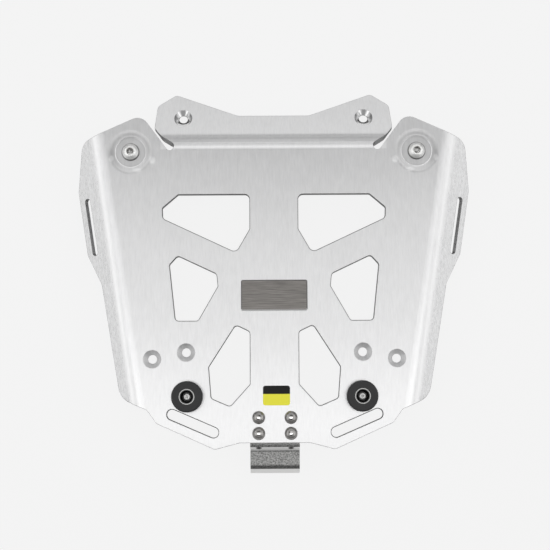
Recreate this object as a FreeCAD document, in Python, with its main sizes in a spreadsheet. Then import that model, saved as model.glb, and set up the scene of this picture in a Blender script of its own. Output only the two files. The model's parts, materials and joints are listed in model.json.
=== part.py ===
# Folded sheet luggage rack top plate with its adjustable latch tongue, pads and fasteners.
# Frame: origin midway between the inner countersunk holes, at the sheet's lower face. X across, Y forward
# to the joggled tab, Z up. Millimetres. Sketches measure from the deck's top face on the middle line.
import FreeCAD, Part
import math
import os
import Sketcher
from FreeCAD import Matrix, Placement, Rotation, Vector

os.makedirs("parts", exist_ok=True)
doc = FreeCAD.newDocument("luggage_rack")
sheet = doc.addObject("Spreadsheet::Sheet", "Sizes")

SIZES = [
    # folded plate
    ("plate_thick", 4.0), ("wing_skew_angle", 9.0), ("wing_fold_angle", 30.0), ("wing_bend_radius", 25.0),
    ("bend_x", 112.4), ("tab_bend_y", 161.2), ("tab_bend_radius", 9.0), ("wall_angle", 55.0),
    ("wall_long", 10.3), ("tab_inner_radius", 8.0), ("tab_slope_angle", 20.0),
    # deck outline, left half, distances from the middle
    ("rear_mid_x", 28.2), ("rear_mid_y", -78.4), ("rear_mid_r", 5.0),
    ("rear_low_x", 48.3), ("rear_low_y", -83.7), ("rear_low_r", 5.0),
    ("rear_step_x", 95.2), ("rear_step_y", -62.7), ("rear_step_r", 4.0),
    ("rear_out_x", 103.0), ("rear_out_y", -52.0), ("rear_out_r", 4.0),
    ("rear_rise_angle", 24.3), ("ear_fall_angle", 24.2), ("ear_slant_angle", 54.6),
    ("ear_tip_x", 109.2), ("ear_tip_y", 190.7), ("ear_tip_r", 10.0),
    ("notch_x", 85.6), ("notch_y", 164.2), ("notch_r", 3.3),
    # wing outline: along the fold line and outward from it
    ("wing_foot_x", -38.8), ("wing_foot_y", 8.3), ("wing_foot_r", 15.0),
    ("wing_low_x", 54.6), ("wing_low_y", 9.7), ("wing_low_r", 4.0),
    ("wing_mid_x", 80.9), ("wing_mid_y", 19.6), ("wing_mid_r", 4.0),
    ("wing_peak_x", 134.1), ("wing_peak_y", 19.5), ("wing_peak_r", 6.0),
    ("wing_top_x", 173.3), ("wing_top_y", 8.44), ("wing_top_r", 12.0),
    ("strap_mid", 103.2), ("strap_long", 48.0), ("strap_wide", 5.4), ("strap_out", 11.7),
    # tab outline: across and up the tab's own face
    ("tab_side", 100.0), ("tab_side_r", 3.0),
    ("tab_cut_x", 98.0), ("tab_cut_y", 27.5), ("tab_cut_r", 6.0),
    ("tab_horn_x", 82.6), ("tab_horn_y", 38.8), ("tab_horn_r", 4.0),
    ("tab_dip_x", 30.0), ("tab_dip_y", 17.5), ("tab_dip_r", 12.0),
    ("tab_hole_x", 76.2), ("tab_hole_y", 16.5),
    # windows
    ("upper_a_x", 78.5), ("upper_a_y", 123.6), ("upper_a_r", 2.0),
    ("upper_b_x", 20.0), ("upper_b_y", 123.6), ("upper_b_r", 4.0),
    ("upper_c_x", 20.0), ("upper_c_y", 95.0), ("upper_c_r", 2.0),
    ("upper_d_x", 31.0), ("upper_d_y", 75.8), ("upper_d_r", 4.5),
    ("upper_e_x", 91.0), ("upper_e_y", 104.0), ("upper_e_r", 4.0),
    ("upper_f_x", 91.4), ("upper_f_y", 112.5), ("upper_f_r", 2.0),
    ("middle_a_x", 85.3), ("middle_a_y", 65.7), ("middle_a_r", 2.5),
    ("middle_b_x", 78.7), ("middle_b_y", 73.0), ("middle_b_r", 3.2),
    ("middle_c_x", 47.0), ("middle_c_y", 58.0), ("middle_c_r", 3.6),
    ("middle_d_x", 46.0), ("middle_d_y", 48.0), ("middle_d_r", 2.0),
    ("middle_e_x", 62.0), ("middle_e_y", 20.0), ("middle_e_r", 2.8),
    ("middle_f_x", 80.3), ("middle_f_y", 20.0), ("middle_f_r", 3.2),
    ("lower_a_x", 31.4), ("lower_a_y", 16.3), ("lower_a_r", 3.2),
    ("lower_b_x", 20.0), ("lower_b_y", 10.8), ("lower_b_r", 3.2),
    ("lower_c_x", 20.0), ("lower_c_y", -31.5), ("lower_c_r", 1.7),
    ("lower_d_x", 36.0), ("lower_d_y", -49.2), ("lower_d_r", 3.2),
    ("lower_e_x", 51.2), ("lower_e_y", -42.7), ("lower_e_r", 3.2),
    ("lower_f_x", 53.2), ("lower_f_y", -17.7), ("lower_f_r", 2.0),
    # slots, holes and pressed dishes
    ("slot_out_x", 82.8), ("slot_out_y", -55.6), ("slot_in_x", 49.4), ("slot_in_y", -70.0), ("slot_wide", 8.2),
    ("sink_in_x", 71.6), ("sink_in_y", -5.7), ("sink_out_x", 99.0), ("sink_out_y", -11.0),
    ("sink_rim", 14.6), ("sink_hole", 7.2), ("sink_angle", 90.0),
    ("dish_x", 118.0), ("dish_y", 159.7), ("dish_flat", 12.5), ("dish_rim", 17.6), ("dish_deep", 1.2),
    ("dish_soft", 9.0), ("dish_crisp", 1.2), ("dish_margin", 1.2), ("edge_break", 0.5), ("cut_over", 2.0),
    # eight millimetre screws in the dishes
    ("big_shank", 4.0), ("big_gap", 0.5), ("big_head", 7.0), ("big_head_high", 4.4), ("big_key", 5.0),
    ("big_key_deep", 2.6), ("big_long", 20.0), ("washer_gap", 0.2), ("nut_gap", 0.05),
    # six millimetre screws of the latch
    ("mid_shank", 3.0), ("mid_gap", 0.3), ("mid_head", 5.25), ("mid_head_high", 3.3), ("mid_key", 4.0),
    ("mid_key_deep", 2.0), ("mid_long", 16.0), ("mid_washer", 6.0), ("mid_washer_thick", 1.6),
    ("mid_nut", 10.0), ("mid_nut_high", 5.0), ("latch_screw_x", 13.0), ("latch_screw_y", -58.2), ("latch_pitch", 12.7),
    # rubber pads with their four millimetre screws
    ("pad_x", 70.4), ("pad_y", -41.3), ("pad_radius", 12.5), ("pad_high", 9.0), ("pad_edge", 1.6),
    ("pad_foot", 0.6), ("cup_rim", 0.25), ("cup_root", 0.4),
    ("cup_out", 6.35), ("cup_in", 4.95), ("cup_floor", 1.6), ("cup_high", 7.0),
    ("small_shank", 2.0), ("small_gap", 0.25), ("small_head", 3.8), ("small_head_high", 2.2), ("small_key", 2.5),
    ("small_key_deep", 1.3), ("small_long", 14.0), ("small_washer", 4.5), ("small_washer_thick", 0.8),
    ("small_nut", 7.0), ("small_nut_high", 3.2),
    # latch tongue
    ("latch_wide", 40.0), ("latch_thick", 3.0), ("latch_inner", -44.0), ("latch_bend_y", -79.2),
    ("latch_out_radius", 4.2), ("latch_angle", 70.0), ("latch_wall", 4.6), ("latch_in_radius", 1.5),
    ("latch_flat", 10.0), ("lip_radius", 5.0), ("lip_angle", 55.0), ("lip_long", 5.9),
    ("adjust_top", -54.2), ("adjust_low", -74.9), ("adjust_wide", 6.8), ("latch_corner", 1.0),
    # name plate and label
    ("badge_wide", 54.0), ("badge_high", 25.0), ("badge_thick", 2.0), ("badge_y", 40.5), ("badge_corner", 1.6),
    ("badge_bevel", 0.9), ("label_wide", 21.8), ("label_high", 15.8), ("label_thick", 0.3), ("label_x", 1.4),
    ("label_y", -40.6), ("label_corner", 2.0),
]
for row, (alias, value) in enumerate(SIZES, start=1):
    sheet.set("A%d" % row, alias)
    sheet.set("B%d" % row, str(value))
    sheet.setAlias("B%d" % row, alias)
doc.recompute()


def size(alias):
    return float(sheet.get(alias))


def frame(origin, x_dir, y_dir):
    z_dir = x_dir.cross(y_dir)
    m = Matrix(x_dir.x, y_dir.x, z_dir.x, origin.x, x_dir.y, y_dir.y, z_dir.y, origin.y,
               x_dir.z, y_dir.z, z_dir.z, origin.z, 0, 0, 0, 1)
    return Placement(m)


FLAT = Placement()
KNOWN = set(alias for alias, value in SIZES)


def new_body(name):
    body = doc.addObject("PartDesign::Body", name)
    body.Label = name
    return body


def new_sketch(body, name, place=FLAT, role="XY_Plane"):
    sketch = body.newObject("Sketcher::SketchObject", name)
    plane = [f for f in body.Origin.OriginFeatures if f.Role == role][0]
    sketch.AttachmentSupport = (plane, [""])
    sketch.MapMode = "FlatFace"
    sketch.AttachmentOffset = place
    return sketch


def tie(sketch, kind, geo, text):
    number = sketch.addConstraint(Sketcher.Constraint(kind, *geo))
    if text:
        sketch.setExpression("Constraints[%d]" % number, text)
    return number


def corner(side, name):
    # side gives the sign of the across value, name the aliases of the corner
    sign = "-" if side < 0 else ""
    radius = name + "_r"
    return (side * size(name + "_x"), size(name + "_y"), size(radius) if radius in KNOWN else 0.0,
            "%sSizes.%s_x" % (sign, name), "Sizes.%s_y" % name, "Sizes." + radius)


def free(x, y):
    # a corner that follows from other sizes
    return (x, y, 0.0, None, None, None)


def trace(sketch, corners):
    # closed outline of lines with tangent arcs at the rounded corners
    count = len(corners)
    flat = [Vector(c[0], c[1], 0) for c in corners]
    cut = []
    for i in range(count):
        to_last = (flat[i - 1] - flat[i]).normalize()
        to_next = (flat[(i + 1) % count] - flat[i]).normalize()
        radius = corners[i][2]
        if radius <= 0:
            cut.append((flat[i], flat[i], None))
            continue
        half = to_last.getAngle(to_next) / 2
        back = radius / math.tan(half)
        start = flat[i] + to_last * back
        end = flat[i] + to_next * back
        middle = flat[i] + (to_last + to_next).normalize() * (radius / math.sin(half))
        turn = to_last.cross(to_next).z < 0
        cut.append((start, end, (middle, turn)))
    lines = []
    for i in range(count):
        lines.append(sketch.addGeometry(Part.LineSegment(cut[i][1], cut[(i + 1) % count][0])))
    for i in range(count):
        last = lines[i - 1]
        following = lines[i]
        x, y, radius, x_text, y_text, r_text = corners[i]
        start, end, arc = cut[i]
        if arc is None:
            tie(sketch, "Coincident", (last, 2, following, 1), None)
            tie(sketch, "DistanceX", (-1, 1, following, 1, x), x_text)
            tie(sketch, "DistanceY", (-1, 1, following, 1, y), y_text)
            continue
        middle, left_turn = arc
        first = start if left_turn else end
        second = end if left_turn else start
        a = math.atan2(first.y - middle.y, first.x - middle.x)
        b = math.atan2(second.y - middle.y, second.x - middle.x)
        if b < a:
            b += 2 * math.pi
        circle = Part.Circle(middle, Vector(0, 0, 1), radius)
        geo = sketch.addGeometry(Part.ArcOfCircle(circle, a, b))
        point = sketch.addGeometry(Part.Point(flat[i]), True)
        tie(sketch, "PointOnObject", (point, 1, last), None)
        tie(sketch, "PointOnObject", (point, 1, following), None)
        tie(sketch, "DistanceX", (-1, 1, point, 1, x), x_text)
        tie(sketch, "DistanceY", (-1, 1, point, 1, y), y_text)
        tie(sketch, "Tangent", (last, 2, geo, 1 if left_turn else 2), None)
        tie(sketch, "Tangent", (geo, 2 if left_turn else 1, following, 1), None)
        tie(sketch, "Radius", (geo, radius), r_text)


def ring(sketch, x, y, radius, x_text, y_text, r_text):
    geo = sketch.addGeometry(Part.Circle(Vector(x, y, 0), Vector(0, 0, 1), radius))
    if x_text == "axis":
        tie(sketch, "PointOnObject", (geo, 3, -2), None)
    else:
        tie(sketch, "DistanceX", (-1, 1, geo, 3, x), x_text)
    if y_text == "axis":
        tie(sketch, "PointOnObject", (geo, 3, -1), None)
    else:
        tie(sketch, "DistanceY", (-1, 1, geo, 3, y), y_text)
    tie(sketch, "Radius", (geo, radius), r_text)


def long_slot(sketch, first, second, radius):
    # two half rounds and two sides about the line first to second, radius as text of an expression
    a = Vector(first[0], first[1], 0)
    b = Vector(second[0], second[1], 0)
    along = (b - a).normalize()
    across = Vector(-along.y, along.x, 0)
    value = radius[0]
    angle = math.atan2(across.y, across.x)
    up = sketch.addGeometry(Part.ArcOfCircle(Part.Circle(a, Vector(0, 0, 1), value), angle, angle + math.pi))
    down = sketch.addGeometry(Part.ArcOfCircle(Part.Circle(b, Vector(0, 0, 1), value), angle - math.pi, angle))
    one = sketch.addGeometry(Part.LineSegment(a - across * value, b - across * value))
    two = sketch.addGeometry(Part.LineSegment(b + across * value, a + across * value))
    tie(sketch, "Tangent", (up, 2, one, 1), None)
    tie(sketch, "Tangent", (one, 2, down, 1), None)
    tie(sketch, "Tangent", (down, 2, two, 1), None)
    tie(sketch, "Tangent", (two, 2, up, 1), None)
    tie(sketch, "DistanceX", (-1, 1, up, 3, first[0]), first[2])
    tie(sketch, "DistanceY", (-1, 1, up, 3, first[1]), first[3])
    tie(sketch, "DistanceX", (-1, 1, down, 3, second[0]), second[2])
    tie(sketch, "DistanceY", (-1, 1, down, 3, second[1]), second[3])
    tie(sketch, "Equal", (up, down), None)
    tie(sketch, "Radius", (up, value), radius[1])


def pad(body, sketch, name, length, text, down=False):
    feature = body.newObject("PartDesign::Pad", name)
    feature.Profile = sketch
    feature.Length = length
    feature.Reversed = down
    if text:
        feature.setExpression("Length", text)
    sketch.Visibility = False
    return feature


def pocket(body, sketch, name, both=True):
    feature = body.newObject("PartDesign::Pocket", name)
    feature.Profile = sketch
    feature.Type = "ThroughAll"
    feature.Midplane = both
    sketch.Visibility = False
    return feature


def loft(body, name, sketches):
    feature = body.newObject("PartDesign::AdditiveLoft", name)
    feature.Profile = sketches[0]
    feature.Sections = sketches[1:]
    for sketch in sketches:
        sketch.Visibility = False
    return feature


def section(body, name, place, x_low, x_high, y_low, y_high, low_text, high_text):
    # rectangle through the sheet, one station of a bend
    sketch = new_sketch(body, name, place)
    spots = [(x_low, y_low, low_text), (x_high, y_low, low_text), (x_high, y_high, high_text), (x_low, y_high, high_text)]
    trace(sketch, [(x, y, 0.0, None, text, None) for x, y, text in spots])
    return sketch


# the folded plate, left half, mirrored at the end
thick = size("plate_thick")
skew = math.radians(size("wing_skew_angle"))
fold = math.radians(size("wing_fold_angle"))
wing_r = size("wing_bend_radius")
along = Vector(-math.sin(skew), math.cos(skew), 0)
outward = Vector(-math.cos(skew), -math.sin(skew), 0)
up = Vector(0, 0, 1)
across = Vector(1, 0, 0)
fold_start = Vector(-size("bend_x"), 0, 0)
# from the sketches' start to the frame's origin
home = Vector(0, -size("sink_in_y"), thick)


def meet(point, slope_deg, sign):
    # where a line through point, falling outward by slope, crosses the inner fold line
    way = Vector(-math.cos(math.radians(slope_deg)), sign * math.sin(math.radians(slope_deg)), 0)
    gap = (fold_start - point).dot(outward)
    spot = point + way * (gap / way.dot(outward))
    slope = way.dot(along) / way.dot(outward)
    return spot, (spot - fold_start).dot(along), slope


ear_tip = Vector(-size("ear_tip_x"), size("ear_tip_y"), 0)
rear_out = Vector(-size("rear_out_x"), size("rear_out_y"), 0)
top_spot, top_u, top_slope = meet(ear_tip, size("ear_fall_angle"), -1)
low_spot, low_u, low_slope = meet(rear_out, size("rear_rise_angle"), 1)

tab_y = size("tab_bend_y")
notch = Vector(-size("notch_x"), size("notch_y"), 0)
notch_r = size("notch_r")
slant = math.radians(size("ear_slant_angle"))
slant_way = Vector(-math.cos(slant), math.sin(slant), 0)
slant_side = Vector(math.sin(slant), math.cos(slant), 0)
notch_low = notch.y - notch_r
left_of = notch - slant_side * notch_r
ear_foot = left_of + slant_way * ((notch_low - left_of.y) / slant_way.y)
ear_foot_x = ear_foot.x
right_of = notch + slant_side * notch_r


def tab_edge(run):
    # left edge of the blank at a run beyond the deck: round notch root, then the slanted side
    y = tab_y + run
    if y < right_of.y:
        return notch.x + math.sqrt(max(notch_r ** 2 - (y - notch.y) ** 2, 0.0))
    return right_of.x + slant_way.x * (y - right_of.y) / slant_way.y


plate = new_body("rack_plate")
deck_sketch = new_sketch(plate, "deck_outline")
trace(deck_sketch, [
    free(0.0, size("rear_mid_y")),
    (0.0, tab_y, 0.0, None, "Sizes.tab_bend_y", None),
    free(tab_edge(0.0), tab_y),
    free(tab_edge(0.0), notch_low),
    (ear_foot_x, notch_low, notch_r, None, "Sizes.notch_y - Sizes.notch_r", "Sizes.notch_r"),
    corner(-1, "ear_tip"),
    free(top_spot.x, top_spot.y),
    free(low_spot.x, low_spot.y),
    corner(-1, "rear_out"),
    corner(-1, "rear_step"),
    corner(-1, "rear_low"),
    corner(-1, "rear_mid"),
])
pad(plate, deck_sketch, "deck", thick, "Sizes.plate_thick", True)

# wing bend: stations turned about the bend's own centre line
stations = 5
flat_run = (wing_r - thick / 2) * fold
wing_centre = fold_start - up * wing_r
sections = []
for i in range(stations):
    part = i / (stations - 1)
    angle = fold * part
    radial = up * math.cos(angle) + outward * math.sin(angle)
    place = frame(wing_centre, along, radial)
    sections.append(section(plate, "wing_station_%d" % i, place, low_u + low_slope * flat_run * part,
                            top_u + top_slope * flat_run * part, wing_r - thick, wing_r,
                            "Sizes.wing_bend_radius - Sizes.plate_thick", "Sizes.wing_bend_radius"))
loft(plate, "wing_bend", sections)

# wing flat, drawn in its own slanted plane
wing_top = wing_centre + (up * math.cos(fold) + outward * math.sin(fold)) * wing_r
wing_way = outward * math.cos(fold) - up * math.sin(fold)
wing_place = frame(wing_top, along, wing_way)
wing_sketch = new_sketch(plate, "wing_outline", wing_place)
trace(wing_sketch, [
    free(low_u + low_slope * flat_run, 0.0),
    free(top_u + top_slope * flat_run, 0.0),
    corner(1, "wing_top"),
    corner(1, "wing_peak"),
    corner(1, "wing_mid"),
    corner(1, "wing_low"),
    corner(1, "wing_foot"),
])
pad(plate, wing_sketch, "wing", thick, "Sizes.plate_thick", True)

# joggle: bend down, steep wall, bend back, sloping tab
tab_r = size("tab_bend_radius")
back_r = size("tab_inner_radius")
steep = math.radians(size("wall_angle"))
slope = math.radians(size("tab_slope_angle"))
forward = Vector(0, 1, 0)


def down_normal(angle):
    return up * math.cos(angle) + forward * math.sin(angle)


def down_way(angle):
    return forward * math.cos(angle) - up * math.sin(angle)


first_centre = Vector(0, tab_y, -tab_r)
first_run = (tab_r - thick / 2) * steep
count = 7
sections = []
for i in range(count):
    part = i / (count - 1)
    place = frame(first_centre, across, down_normal(steep * part))
    sections.append(section(plate, "tab_station_%d" % i, place, tab_edge(first_run * part), 0.0, tab_r - thick,
                            tab_r, "Sizes.tab_bend_radius - Sizes.plate_thick", "Sizes.tab_bend_radius"))
loft(plate, "tab_bend", sections)

wall_top = first_centre + down_normal(steep) * tab_r
wall_long = size("wall_long")
wall_place = frame(wall_top, across, down_way(steep))
wall_sketch = new_sketch(plate, "wall_outline", wall_place)
trace(wall_sketch, [
    free(0.0, 0.0),
    (0.0, wall_long, 0.0, None, "Sizes.wall_long", None),
    free(tab_edge(first_run + wall_long), wall_long),
    free(tab_edge(first_run), 0.0),
])
pad(plate, wall_sketch, "wall", thick, "Sizes.plate_thick", True)

wall_foot = wall_top + down_way(steep) * wall_long
second_centre = wall_foot + down_normal(steep) * back_r
second_run = (back_r + thick / 2) * (steep - slope)
sections = []
for i in range(stations):
    part = i / (stations - 1)
    angle = steep + (slope - steep) * part
    place = frame(second_centre, across, down_normal(angle) * -1.0)
    sections.append(section(plate, "back_station_%d" % i, place, tab_edge(first_run + wall_long + second_run * part),
                            0.0, back_r, back_r + thick, "Sizes.tab_inner_radius",
                            "Sizes.tab_inner_radius + Sizes.plate_thick"))
loft(plate, "back_bend", sections)

tab_run = first_run + wall_long + second_run
tab_foot = second_centre - down_normal(slope) * back_r
tab_place = frame(tab_foot, across, down_way(slope))
side_y = (size("tab_side") + tab_edge(tab_run)) * math.tan(slant)
tab_sketch = new_sketch(plate, "tab_outline", tab_place)
trace(tab_sketch, [
    free(0.0, 0.0),
    (0.0, size("tab_dip_y"), 0.0, None, "Sizes.tab_dip_y", None),
    corner(-1, "tab_dip"),
    corner(-1, "tab_horn"),
    corner(-1, "tab_cut"),
    (-size("tab_side"), side_y, size("tab_side_r"), "-Sizes.tab_side", None, "Sizes.tab_side_r"),
    free(tab_edge(tab_run), 0.0),
])
pad(plate, tab_sketch, "tab", thick, "Sizes.plate_thick", True)

# windows and slots, each cut square to the sheet it is in
for window in ("upper", "middle", "lower"):
    sketch = new_sketch(plate, window + "_window")
    trace(sketch, [corner(-1, window + "_" + letter) for letter in "abcdef"])
    pocket(plate, sketch, window + "_cut")
rear_slot = new_sketch(plate, "rear_slot")
long_slot(rear_slot, (-size("slot_out_x"), size("slot_out_y"), "-Sizes.slot_out_x", "Sizes.slot_out_y"),
          (-size("slot_in_x"), size("slot_in_y"), "-Sizes.slot_in_x", "Sizes.slot_in_y"),
          (size("slot_wide") / 2, "Sizes.slot_wide / 2"))
pocket(plate, rear_slot, "rear_slot_cut")
strap_slot = new_sketch(plate, "strap_slot", wing_place)
reach = (size("strap_long") - size("strap_wide")) / 2
reach_text = "(Sizes.strap_long - Sizes.strap_wide) / 2"
long_slot(strap_slot, (size("strap_mid") - reach, size("strap_out"), "Sizes.strap_mid - " + reach_text, "Sizes.strap_out"),
          (size("strap_mid") + reach, size("strap_out"), "Sizes.strap_mid + " + reach_text, "Sizes.strap_out"),
          (size("strap_wide") / 2, "Sizes.strap_wide / 2"))
strap_cut = plate.newObject("PartDesign::Pocket", "strap_slot_cut")
strap_cut.Profile = strap_slot
strap_cut.Length = thick + size("cut_over")
strap_cut.setExpression("Length", "Sizes.plate_thick + Sizes.cut_over")
strap_slot.Visibility = False


def sunk_holes(name, place, spots):
    sketch = new_sketch(plate, name, place)
    for alias in spots:
        x = -size(alias + "_x")
        y = size(alias + "_y")
        ring(sketch, x, y, size("sink_hole") / 2, "-Sizes.%s_x" % alias, "Sizes.%s_y" % alias, "Sizes.sink_hole / 2")
    doc.recompute()
    hole = plate.newObject("PartDesign::Hole", name + "_cut")
    hole.Profile = sketch
    doc.recompute()
    hole.ThreadType = "None"
    hole.DepthType = "Dimension"
    hole.Depth = thick + size("cut_over")
    hole.DrillPoint = "Flat"
    hole.Diameter = size("sink_hole")
    hole.HoleCutType = "Countersink"
    hole.HoleCutCustomValues = True
    hole.HoleCutDiameter = size("sink_rim")
    hole.HoleCutCountersinkAngle = size("sink_angle")
    hole.setExpression("Diameter", "Sizes.sink_hole")
    hole.setExpression("HoleCutDiameter", "Sizes.sink_rim")
    hole.setExpression("Depth", "Sizes.plate_thick + Sizes.cut_over")
    sketch.Visibility = False
    return hole


sunk_holes("deck_sunk", FLAT, ("sink_in", "sink_out"))
sunk_holes("tab_sunk", tab_place, ("tab_hole",))

# clearance holes for the latch screws and the pad screw
small_holes = new_sketch(plate, "fastener_holes")
for row_y, row_text in ((0.0, ""), (-size("latch_pitch"), " - Sizes.latch_pitch")):
    ring(small_holes, -size("latch_screw_x"), size("latch_screw_y") + row_y, size("mid_shank") + size("mid_gap"),
         "-Sizes.latch_screw_x", "Sizes.latch_screw_y" + row_text, "Sizes.mid_shank + Sizes.mid_gap")
ring(small_holes, -size("pad_x"), size("pad_y"), size("small_shank") + size("small_gap"), "-Sizes.pad_x",
     "Sizes.pad_y", "Sizes.small_shank + Sizes.small_gap")
pocket(plate, small_holes, "fastener_holes_cut")

# pressed dish: the flat disc is taken out and the dished profile turned back in
dish_x = -size("dish_x")
dish_y = size("dish_y")
dish_out = size("dish_rim") + size("dish_margin")
dish_hole = new_sketch(plate, "dish_opening")
ring(dish_hole, dish_x, dish_y, dish_out, "-Sizes.dish_x", "Sizes.dish_y", "Sizes.dish_rim + Sizes.dish_margin")
pocket(plate, dish_hole, "dish_opening_cut")
dish_place = frame(Vector(dish_x, dish_y, 0), across, up)
dish_sketch = new_sketch(plate, "dish_section", dish_place)
deep = size("dish_deep")
soft = size("dish_soft")
crisp = size("dish_crisp")
inner = size("big_shank") + size("big_gap")
run = size("dish_rim") - size("dish_flat")
lean = math.atan2(deep, run)
flat_end = size("dish_flat")
under = thick * math.tan(lean / 2)
trace(dish_sketch, [
    (inner, -deep, 0.0, "Sizes.big_shank + Sizes.big_gap", "-Sizes.dish_deep", None),
    (flat_end, -deep, crisp, "Sizes.dish_flat", "-Sizes.dish_deep", "Sizes.dish_crisp"),
    (size("dish_rim"), 0.0, soft, "Sizes.dish_rim", None, "Sizes.dish_soft"),
    (dish_out, 0.0, 0.0, "Sizes.dish_rim + Sizes.dish_margin", None, None),
    (dish_out, -thick, 0.0, "Sizes.dish_rim + Sizes.dish_margin", "-Sizes.plate_thick", None),
    (size("dish_rim") - under, -thick, crisp, None, "-Sizes.plate_thick", "Sizes.dish_crisp"),
    (flat_end - under, -thick - deep, soft, None, "-Sizes.plate_thick - Sizes.dish_deep", "Sizes.dish_soft"),
    (inner, -thick - deep, 0.0, "Sizes.big_shank + Sizes.big_gap", "-Sizes.plate_thick - Sizes.dish_deep", None),
])
dish = plate.newObject("PartDesign::Revolution", "dish")
dish.Profile = dish_sketch
dish.ReferenceAxis = (dish_sketch, ["V_Axis"])
dish.Angle = 360
dish_sketch.Visibility = False
doc.recompute()

# small edge break round the windows and the rear slot, upper side
top_faces = [f for f in plate.Shape.Faces if abs(f.BoundBox.ZMax) < 0.001 and f.BoundBox.ZLength < 0.001]
deck_face = max(top_faces, key=lambda f: f.Area)
broken = []
for wire in deck_face.Wires:
    if wire.isSame(deck_face.OuterWire):
        continue
    rounds = [e for e in wire.Edges if e.Curve.TypeId == "Part::GeomCircle"]
    if len(rounds) == len(wire.Edges):
        continue
    for edge in wire.Edges:
        for index, other in enumerate(plate.Shape.Edges, start=1):
            if other.isSame(edge):
                broken.append("Edge%d" % index)
chamfer = plate.newObject("PartDesign::Chamfer", "window_edges")
chamfer.Base = (dish, broken)
chamfer.Size = size("edge_break")
chamfer.setExpression("Size", "Sizes.edge_break")
doc.recompute()

mirror_plane = [f for f in plate.Origin.OriginFeatures if f.Role == "YZ_Plane"][0]
both = plate.newObject("PartDesign::Mirrored", "both_halves")
both.TransformMode = "Whole shape"
both.MirrorPlane = (mirror_plane, [""])
both.Refine = True
plate.Tip = both
plate.Placement = Placement(home, Rotation())
doc.recompute()


# fasteners
def hexagon(feature, across_flats, text):
    feature.Polygon = 6
    feature.Circumradius = across_flats / 2 / math.cos(math.radians(30))
    feature.setExpression("Circumradius", "%s / 2 / cos(30 deg)" % text)


def turned(body, name, corners):
    sketch = new_sketch(body, name + "_section", frame(Vector(0, 0, 0), across, up))
    trace(sketch, corners)
    feature = body.newObject("PartDesign::Revolution", name)
    feature.Profile = sketch
    feature.ReferenceAxis = (sketch, ["V_Axis"])
    feature.Angle = 360
    sketch.Visibility = False
    return feature


def button_screw(name, kind, spot, turn):
    # underside of the head at the body's origin, shank downward
    body = new_body(name)
    shank = size(kind + "_shank")
    head = size(kind + "_head")
    high = size(kind + "_head_high")
    length = size(kind + "_long")
    point = shank * 0.14
    turned(body, "blank", [
        (0.0, -length, 0.0, None, "-Sizes.%s_long" % kind, None),
        (shank - point, -length, 0.0, None, "-Sizes.%s_long" % kind, None),
        (shank, -length + point, 0.0, "Sizes.%s_shank" % kind, None, None),
        (shank, 0.0, 0.0, "Sizes.%s_shank" % kind, None, None),
        (head, 0.0, 0.0, "Sizes.%s_head" % kind, None, None),
        (head, high * 0.3, high * 0.35, "Sizes.%s_head" % kind, None, None),
        (head * 0.6, high, high * 0.8, None, "Sizes.%s_head_high" % kind, None),
        (0.0, high, 0.0, None, "Sizes.%s_head_high" % kind, None),
    ])
    socket = body.newObject("PartDesign::SubtractivePrism", "socket")
    hexagon(socket, size(kind + "_key"), "Sizes.%s_key" % kind)
    socket.Height = size(kind + "_key_deep") + size("cut_over")
    socket.setExpression("Height", "Sizes.%s_key_deep + Sizes.cut_over" % kind)
    socket.Placement = Placement(Vector(0, 0, high - size(kind + "_key_deep")), Rotation())
    body.Placement = Placement(home + spot, Rotation(up, turn))
    return body


def washer(name, kind, spot):
    body = new_body(name)
    sketch = new_sketch(body, "ring")
    ring(sketch, 0.0, 0.0, size(kind + "_washer"), "axis", "axis", "Sizes.%s_washer" % kind)
    ring(sketch, 0.0, 0.0, size(kind + "_shank") + size("washer_gap"), "axis", "axis",
         "Sizes.%s_shank + Sizes.washer_gap" % kind)
    pad(body, sketch, "disc", size(kind + "_washer_thick"), "Sizes.%s_washer_thick" % kind)
    body.Placement = Placement(home + spot, Rotation())
    return body


def lock_nut(name, kind, spot, turn):
    # six sides with turned corners and a round collar below that holds the locking ring
    body = new_body(name)
    flats = size(kind + "_nut")
    high = size(kind + "_nut_high")
    solid = body.newObject("PartDesign::AdditivePrism", "six_sides")
    hexagon(solid, flats, "Sizes.%s_nut" % kind)
    solid.Height = high * 0.72
    solid.setExpression("Height", "Sizes.%s_nut_high * 0.72" % kind)
    collar = body.newObject("PartDesign::AdditiveCylinder", "collar")
    collar.Radius = flats * 0.43
    collar.Height = high
    collar.setExpression("Radius", "Sizes.%s_nut * 0.43" % kind)
    collar.setExpression("Height", "Sizes.%s_nut_high" % kind)
    bore = body.newObject("PartDesign::SubtractiveCylinder", "bore")
    bore.Radius = size(kind + "_shank") + size("nut_gap")
    bore.Height = high
    bore.setExpression("Radius", "Sizes.%s_shank + Sizes.nut_gap" % kind)
    bore.setExpression("Height", "Sizes.%s_nut_high" % kind)
    wide = flats / 2 / math.cos(math.radians(30)) + size("edge_break")
    rise = (wide - flats * 0.48) * math.tan(math.radians(30))
    for label, base, way in (("near_corners", 0.0, 1.0), ("far_corners", high * 0.72, -1.0)):
        sketch = new_sketch(body, label + "_section", frame(Vector(0, 0, 0), across, up))
        trace(sketch, [free(flats * 0.48, base), free(wide, base), free(wide, base + way * rise)])
        groove = body.newObject("PartDesign::Groove", label)
        groove.Profile = sketch
        groove.ReferenceAxis = (sketch, ["V_Axis"])
        groove.Angle = 360
        sketch.Visibility = False
    body.Placement = Placement(home + spot, Rotation(across, 180) * Rotation(up, turn))
    return body


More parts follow.
